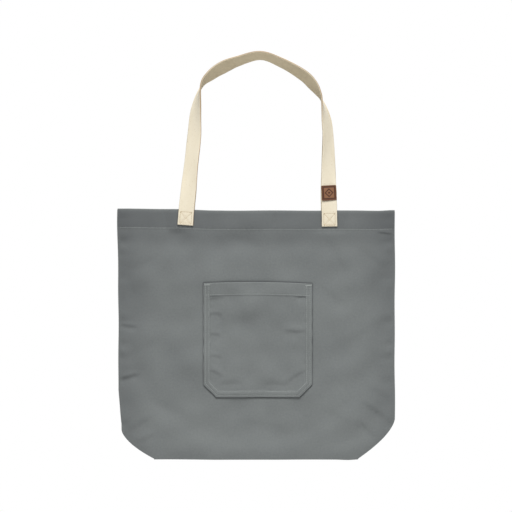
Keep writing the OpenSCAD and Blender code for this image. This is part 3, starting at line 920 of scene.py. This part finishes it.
def stitches(name, runs, material, radius, seed):
    """One mesh of separate stitches. Each run is a list of starts, ends and outward directions."""
    starts, ends, ups = (np.concatenate([np.asarray(run[k], float) for run in runs]) for k in range(3))
    count = len(starts)
    ups = ups / np.linalg.norm(ups, axis=1, keepdims=True)
    along = ends - starts
    length = np.linalg.norm(along, axis=1, keepdims=True)
    along /= length
    beside = np.cross(along, ups)
    skew = np.random.default_rng(seed).normal(0, 0.06, (2, count, 1))
    starts, ends = starts + beside * skew[0], ends + beside * skew[1]
    part, girth, lift = STITCH_SHAPE.T * [[1], [radius], [radius]]
    angle = 2 * math.pi * np.arange(STITCH_SIDES) / STITCH_SIDES
    centre = mix(starts[:, None], ends[:, None], part[:, None]) + ups[:, None] * lift[:, None]
    ring = np.cos(angle)[:, None] * beside[:, None] + 0.82 * np.sin(angle)[:, None] * ups[:, None]
    verts = centre[:, :, None] + ring[:, None] * girth[:, None, None]

    rings = len(part)
    first = STITCH_SIDES * rings * np.arange(count)[:, None, None]
    j, k = np.meshgrid(np.arange(rings - 1), np.arange(STITCH_SIDES), indexing="ij")
    a, b = j * STITCH_SIDES + k, j * STITCH_SIDES + (k + 1) % STITCH_SIDES
    quads = np.stack([a, b, b + STITCH_SIDES, a + STITCH_SIDES], -1).reshape(1, -1, 4) + first
    cap = np.array([[0, 1, 2, 3], [0, 3, 4, 7], [4, 5, 6, 7]])
    caps = [cap[:, ::-1] + first, cap + first + (rings - 1) * STITCH_SIDES]
    faces = np.concatenate([group.reshape(-1, 4) for group in (quads, *caps)])
    # on the thread: metres along a stitch, the angle round it, and a number for each stitch
    number = np.arange(count)[:, None, None]
    cloth = np.stack(np.broadcast_arrays((part * length * MM)[:, :, None], angle, 0.01 * number), axis=-1)
    return mesh_object(name, verts.reshape(-1, 3), faces, material, cloth)


def sewn(points, ups, pitch=3.0, gap=0.45):
    """Stitches along a line of points."""
    run = np.concatenate([[0], np.cumsum(np.linalg.norm(np.diff(points, axis=0), axis=1))])
    count = max(1, round(run[-1] / pitch))
    step = run[-1] / count
    at = np.arange(count) * step

    def on(distance, values):
        return np.stack([np.interp(distance, run, values[:, i]) for i in range(3)], axis=1)

    return on(at + gap / 2, points), on(at + step - gap / 2, points), on(at + step / 2, ups)


def on_face(side, x, z, surface, lift=0.0):
    """Points on a surface given by its depth, and the directions straight out of it."""
    h = 0.4
    x, z = np.broadcast_arrays(x, z)
    slope_x = (surface(x + h, z) - surface(x - h, z)) / (2 * h)
    slope_z = (surface(x, z + h) - surface(x, z - h)) / (2 * h)
    up = np.stack([-slope_x, side + 0 * x, -slope_z], axis=-1)
    up /= np.linalg.norm(up, axis=-1, keepdims=True)
    return place(side, x, z, surface(x, z)) + up * lift, up


def hem_stitching(side):
    """The hem's row of stitches, outside on the panel and inside on the hem."""
    x = np.arange(4 - HALF_W, HALF_W - 4, LINE_STEP)
    outside = on_face(side, x, hem_line(x), lambda a, b: face(side, a, b))

    def hem_inside(a, b):
        return np.maximum(face(side, a, b) - CANVAS_T - GAP - HEM_T, 0.1)

    x = np.arange(1 - HEM_REACH, HEM_REACH - 1, LINE_STEP)
    points, ups = on_face(side, x, hem_line(x), hem_inside)
    runs = [sewn(*outside), sewn(points, -ups)]
    return stitches(f"{WORD[side]}_hem_stitches", runs, grey_thread, FINE_THREAD, 11)


def pocket_stitching():
    """Two rows of stitches round the pocket's sewn borders."""
    runs = []
    for inset in POCKET_ROWS:
        low = POCKET_Z + inset
        turn = POCKET_Z + POCKET_CORNER + inset * (math.sqrt(2) - 1)
        half = POCKET_HALF - inset
        high_left, high_right = (pocket_top(POCKET_X + hand * half) - 3.4 for hand in (LEFT, RIGHT))
        across = pocket_reach(low, inset)
        path = [(-half, high_left), (-half, turn), (-across, low)]
        path += [(across, low), (half, turn), (half, high_right)]
        for (x0, z0), (x1, z1) in zip(path, path[1:]):
            t = np.linspace(0, 1, max(6, int(math.hypot(x1 - x0, z1 - z0) / LINE_STEP)))
            runs.append(sewn(*on_face(FRONT, POCKET_X + mix(x0, x1, t), mix(z0, z1, t), pocket_face)))
    return stitches("pocket_stitches", runs, grey_thread, POCKET_THREAD, 12)


def pocket_hem_stitching():
    """The row of stitches along the pocket's hem."""
    reach = POCKET_HALF - POCKET_ROWS[0]
    x = POCKET_X + np.arange(-reach, reach, LINE_STEP)
    line = on_face(FRONT, x, pocket_top(x) - POCKET_HEM_H, pocket_face)
    return stitches("pocket_hem_stitches", [sewn(*line)], grey_thread, POCKET_THREAD, 13)


def pocket_bartacks():
    """A dense bar of short stitches at each end of the pocket's mouth."""
    runs = []
    for hand in (LEFT, RIGHT):
        x = POCKET_X + hand * (POCKET_HALF - np.arange(1.6, 11.1, 0.52))
        z = pocket_top(x) - 3.2
        tops, ups = on_face(FRONT, x - 0.2, z + 1.1, pocket_face, 0.12)
        feet, _ = on_face(FRONT, x + 0.2, z - 1.1, pocket_face, 0.12)
        runs.append((tops, feet, ups))
    return stitches("pocket_bartack_stitches", runs, grey_thread, BARTACK_THREAD, 14)


def outlined(lines, at, pitch):
    """Stitches along straight lines from one u, v to another. at gives points and directions for u and v."""
    t = np.linspace(0, 1, 30)
    return [sewn(*at(mix(u0, u1, t), mix(v0, v1, t)), pitch) for (u0, v0), (u1, v1) in lines]


# --- handles


def route(side):
    """A handle's centre line: x, z, and roll in radians."""
    points = np.array(HANDLE_ROUTE, float)
    if side == BACK:
        rise = np.maximum(0, points[:, 1] - BODY_H)
        points[:, 0] *= 1 + BACK_SPREAD * smooth(rise / 60)
        points[:, 1] += BACK_RISE * rise
    return points * [1, 1, math.pi / 180]


def route_at(points, s):
    """The smooth curve through the route's points, at each s from 0 to LAST_LEG."""
    k = np.clip(np.floor(s).astype(int), 0, LAST_LEG - 1)
    t = (s - k)[:, None]
    a, b = points[np.maximum(k - 1, 0)], points[k]
    c, d = points[k + 1], points[np.minimum(k + 2, LAST_LEG)]
    return 0.5 * (2 * b + (c - a) * t + (2 * a - 5 * b + 4 * c - d) * t**2 + (3 * b - a - 3 * c + d) * t**3)


def seat(x, z):
    """Depth of the panel's outer face where a handle is sewn on."""
    return depth(x, z) + roundness(x, z) + hang(x, z) + CANVAS_T + 0.5


def strap_frames(side, s):
    """Middle, direction along, direction across and outward normal of a handle at each s."""
    points = route(side)
    p = route_at(points, s)
    ahead = route_at(points, s + 0.02) - route_at(points, s - 0.02)
    x, z, roll = p[:, 0], p[:, 1], p[:, 2:]
    below = np.minimum(z, BODY_H - 9)
    slope = (seat(x + 1, below) - seat(x - 1, below)) / 2 * (1 - smooth((z - BODY_H) / 30))
    deep = mix(seat(x, below) + GAP + STRAP_T / 2, ARCH_DEPTH, smooth((z - BODY_H) / 150))
    along = np.stack([ahead[:, 0], 0 * x, ahead[:, 1]], 1)
    along /= np.linalg.norm(along, axis=1, keepdims=True)
    out = np.stack([-slope, side + 0 * x, 0 * x], 1)
    out /= np.linalg.norm(out, axis=1, keepdims=True)
    away = -side * np.cross(out, along)
    normal = out * np.cos(roll) + away * np.sin(roll)
    across = away * np.cos(roll) - out * np.sin(roll)
    return place(side, x, z, deep), along, across, normal


def box_lines(u, v):
    """Distance to a handle end's sewn box and cross from a point u across and v up from the box's middle."""
    far = np.maximum(np.abs(u), np.abs(v))
    cross_gap = np.minimum(np.abs(u - v), np.abs(u + v)) / math.sqrt(2)
    return np.where(far <= BOX_HALF + 1, np.minimum(np.abs(far - BOX_HALF), cross_gap), np.inf)


def strap_top(u, v):
    """Height of the webbing's outer face over its middle, v above its end, with a dent along the stitches."""
    selvedges = bell(np.abs(u) - STRAP_W / 2 + 2.2, 1.4)
    return STRAP_T / 2 * (0.94 + 0.06 * selvedges) - 0.3 * bell(box_lines(u, v - BOX_UP), 0.8)


def strap(side):
    """A handle: one length of webbing, sewn to the outside of the bag at both ends."""
    fine = np.linspace(0, LAST_LEG, 4000)
    steps = np.diff(route_at(route(side), fine)[:, :2], axis=0)
    run = np.concatenate([[0], np.cumsum(np.linalg.norm(steps, axis=1))])
    length = run[-1]
    lip = STRAP_T / 2 * (1 - np.cos(np.linspace(0, math.pi / 2, 7)))
    at = np.concatenate([lip[1:], np.arange(STRAP_T, length - STRAP_T, 1.3), length - lip[:0:-1]])
    middle, _, across, normal = strap_frames(side, np.interp(at, run, fine))
    half = STRAP_W / 2
    brink = 1 - 0.13 * (1 - np.cos(np.linspace(math.pi / 2, 0.35, 5)))
    u = half * np.concatenate([[-1], -brink[::-1], np.linspace(-0.83, 0.83, 27), brink, [1]])
    wander = np.random.default_rng(91 + side).normal(0, 0.12, 60)
    wander = np.interp(at, np.linspace(0, length, 60), wander)[:, None]
    high, at = middle[:, 2:], at[:, None]
    to_end = np.clip(np.minimum(at, length - at) / (STRAP_T / 2), 0, 1)
    round_off = rounded((half - np.abs(u)) / (STRAP_T / 2)) * rounded(to_end)
    up = high - np.where(middle[:, :1] < 0, HANDLE_ROUTE[0][1], HANDLE_ROUTE[-1][1])
    cup = 0.25 * ripple(at, 93 + side, 120, 0.8, 6) * smooth((high - BODY_H) / 40) * (u / half) ** 2
    base = middle[:, None] + across[:, None] * (u * (1 + wander / half))[..., None]
    outer = base + normal[:, None] * (strap_top(u, up) * round_off + cup)[..., None]
    inner = base + normal[:, None] * (cup - STRAP_T / 2 * round_off)[..., None]
    # painted shade on the selvedges: darker on the inner side of the loop, most of all near its left end and
    # over its top
    darkest = 1 - 0.75 * smooth((at / length - 0.68) / 0.12)
    inner_side = u * np.sign(across[0, 0]) > 0
    selvedge = bell(np.abs(u) - half, 0.5) * mix(0.3, darkest, inner_side)
    sewn_down = 0.3 * bell(box_lines(u, up - BOX_UP), 0.6)
    tone_and_painted_shade = np.maximum(np.maximum(selvedge, 0.25 * bell(to_end, 0.8)), sewn_down)
    name = f"{WORD[side]}_handle_webbing"
    # the inner face gets painted shade, the underside drawn darker and yellower, except along its selvedges
    return shell(name, outer, inner, webbing, flat(u, at), (tone_and_painted_shade, mix(-0.9, tone_and_painted_shade, tone_and_painted_shade)))


def handle_stitching(side):
    """A sewn box with a cross in it on each end of a handle."""
    b = BOX_HALF
    lines = [((-b, -b), (b, -b)), ((b, -b), (b, b)), ((b, b), (-b, b)), ((-b, b), (-b, -b))]
    lines += [((-b, -b), (b, b)), ((-b, b), (b, -b))]
    runs = []
    for end in (0, LAST_LEG):
        foot, after = HANDLE_ROUTE[end][1], abs(end - 1)

        def on_end(u, v):
            s = np.interp(foot + BOX_UP + v, [foot, HANDLE_ROUTE[after][1]], [end, after])
            middle, _, across, normal = strap_frames(side, s)
            across = across * np.sign(across[:, :1])
            return middle + across * u[:, None] + normal * strap_top(u, v + BOX_UP)[:, None], normal

        runs += outlined(lines, on_end, 2.6)
    return stitches(f"{WORD[side]}_handle_box_stitches", runs, cream_thread, HANDLE_THREAD, 15)


# --- leather label


def label_frame():
    """The middle of the label's back, and its directions across, up and outwards."""
    middle, along, across, normal = (v[0] for v in strap_frames(FRONT, np.array([float(LABEL_AT)])))
    cos, sin = math.cos(LABEL_TILT), math.sin(LABEL_TILT)
    tilted = across * cos + along * sin
    up = across * sin - along * cos
    return middle + normal * (STRAP_T / 2 + 0.25) + along * 0.4, tilted * np.sign(tilted[0]), up, normal


def label_relief(u, v):
    """Height of the label's face, and how dark its leather is: a square groove round a small lozenge."""
    half = LABEL_SIDE / 2
    square = np.maximum(np.abs(u), np.abs(v))
    lozenge = np.abs(u) + np.abs(v)
    pressed = np.maximum.reduce([bell(square - 9.3, 0.85), bell(lozenge - 6.2, 1.1), bell(lozenge**2, 4)])
    height = LABEL_T - 0.32 * pressed - 0.22 * bell(square - half + LABEL_INSET, 0.5)
    tone = np.maximum(pressed, 0.5 * bell(square - half, 0.5))
    return height, np.where(tone > 0.25, tone, -0.85 * smooth(8.8 - square) * (1 - tone))


def label():
    """The square of leather, with its corners and edges rounded."""
    origin, across, up, normal = label_frame()
    half = LABEL_SIDE / 2
    t = np.linspace(-half, half, 111)
    u, v = np.meshgrid(t, t)
    over = np.maximum(np.abs(u) + np.abs(v) - (2 * half - 1.1), 0) / 2
    u, v = u - np.sign(u) * over, v - np.sign(v) * over
    height, tone = label_relief(u, v)
    height = height - 0.5 * (1 - rounded((half - np.maximum(np.abs(u), np.abs(v))) / 0.5))
    back = origin + across * u[..., None] + up * v[..., None]
    return shell("leather_label_patch", back + normal * height[..., None], back, leather, flat(u, v), tone)


def label_stitching():
    """A row of stitches round the label."""
    origin, across, up, normal = label_frame()
    b = LABEL_SIDE / 2 - LABEL_INSET

    def on_label(u, v):
        u, v, height = u[:, None], v[:, None], label_relief(u, v)[0][:, None]
        return origin + across * u + up * v + normal * height, normal + 0 * u

    lines = [((-b, -b), (b, -b)), ((b, b), (-b, b)), ((-b, b), (-b, -b)), ((b, -b), (b, b))]
    return stitches("label_stitches", outlined(lines, on_label, 2.5), brown_thread, FINE_THREAD, 16)


# --- making and placing every piece


def piece(obj, slot, *nodes):
    """Hide the CAD nodes that a piece stands in for. slot, what it is made of, is not used."""
    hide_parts(*nodes)
    return obj


SIDES, HANDS = (FRONT, BACK), (LEFT, RIGHT)
panels = [piece(panel(side), "canvas", f"{WORD[side]}_panel") for side in SIDES]
hems = [piece(hem(side), "canvas", f"{WORD[side]}_hem") for side in SIDES]
hem_rows = [piece(hem_stitching(side), "thread", f"{WORD[side]}_hem_stitching") for side in SIDES]
base = [piece(base_half(side), "canvas", f"base_{WORD[side]}_half") for side in SIDES]
base_binding = piece(base_seam(), "seam_binding", "base_seam")
tucks = []
seams = [base_binding]
for hand in HANDS:
    word = HAND_WORD[hand]
    tucks += [piece(tuck(hand, side), "canvas", f"{word}_{WORD[side]}_tuck") for side in SIDES]
    seams.append(piece(side_seam(hand), "seam_binding", f"{word}_side_seam"))
    seams.append(piece(corner_seam(hand), "seam_binding", f"{word}_corner_seam"))
pocket_cloth = piece(pocket(), "canvas", "pocket_panel")
pocket_band = piece(pocket_hem(), "canvas", "pocket_hem")
pocket_rows = [
    piece(pocket_stitching(), "thread", "pocket_stitching"),
    piece(pocket_hem_stitching(), "thread", "pocket_hem_stitching"),
    piece(pocket_bartacks(), "thread", "pocket_bartacks"),
]
straps = []
for side in SIDES:
    word = f"{WORD[side]}_handle"
    straps.append(piece(strap(side), "webbing", word, f"{word}_end_left", f"{word}_end_right"))
box_rows = [piece(handle_stitching(side), "thread", f"{WORD[side]}_handle_stitching") for side in SIDES]
label_pieces = [
    piece(label(), "leather", "leather_label"), piece(label_stitching(), "thread", "label_stitching"),
]

for obj in [panels[1], hems[1], hem_rows[1], box_rows[1], *base, *seams, *tucks]:
    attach(obj, "bag")
for obj in [pocket_cloth, pocket_band, *pocket_rows, box_rows[0]]:
    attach(obj, "front")
# the front panel, its hem and its hem stitches have their placing baked into their meshes
for obj in (panels[0], hems[0], hem_rows[0]):
    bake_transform(obj)
for obj in label_pieces:
    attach(obj, "front_handle")
# the handles have their placing baked into their meshes
for side, body, obj in zip(SIDES, ("front", "bag"), straps):
    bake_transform(obj)

# --- floor, light and camera

scene = bpy.context.scene
floor_mesh = bpy.data.meshes.new("floor")
ring = np.linspace(0, 2 * math.pi, 97)[:-1]
floor_mesh.from_pydata([(1.7 * math.cos(a), 1.7 * math.sin(a), -0.9) for a in ring], [], [list(range(96))])
floor_mesh.materials.append(Material("pale_floor", roughness=0.8, base_color=(0.86, 0.86, 0.86, 1)).material)
floor = bpy.data.objects.new("floor", floor_mesh)
scene.collection.objects.link(floor)

world = bpy.data.worlds.new("studio")
scene.world = world
world.use_nodes = True
# the studio is white where it is seen, and its light on the bag is softer than that
backdrop = world.node_tree.nodes["Background"]
backdrop.inputs["Color"].default_value = (1, 1, 1, 1)
seen = world.node_tree.nodes.new("ShaderNodeLightPath").outputs["Is Camera Ray"]
strength = world.node_tree.nodes.new("ShaderNodeMapRange")
strength.inputs[3].default_value, strength.inputs[4].default_value = 0.38, 1.0
world.node_tree.links.new(seen, strength.inputs[0])
world.node_tree.links.new(strength.outputs[0], backdrop.inputs["Strength"])


def area_light(name, at, aim, size, power):
    light = bpy.data.lights.new(name, "AREA")
    light.shape, light.size, light.energy = "DISK", size, power
    obj = bpy.data.objects.new(name, light)
    obj.location = at
    obj.rotation_euler = (Vector(aim) - Vector(at)).to_track_quat("-Z", "Y").to_euler()
    scene.collection.objects.link(obj)


area_light("key", (0.05, -3.1, 4.6), (0, 0, 0.25), 2.0, 262)
area_light("back", (0.6, 3.2, 3.8), (0, 0, 0.3), 2.4, 110)

camera_data = bpy.data.cameras.new("camera")
camera_data.lens, camera_data.sensor_width = 200, 36
camera = bpy.data.objects.new("camera", camera_data)
camera.location = (0, -4.647, 0.331)
camera.rotation_euler = (math.pi / 2, 0, 0)
scene.collection.objects.link(camera)
scene.camera = camera
scene.view_settings.view_transform = "Standard"
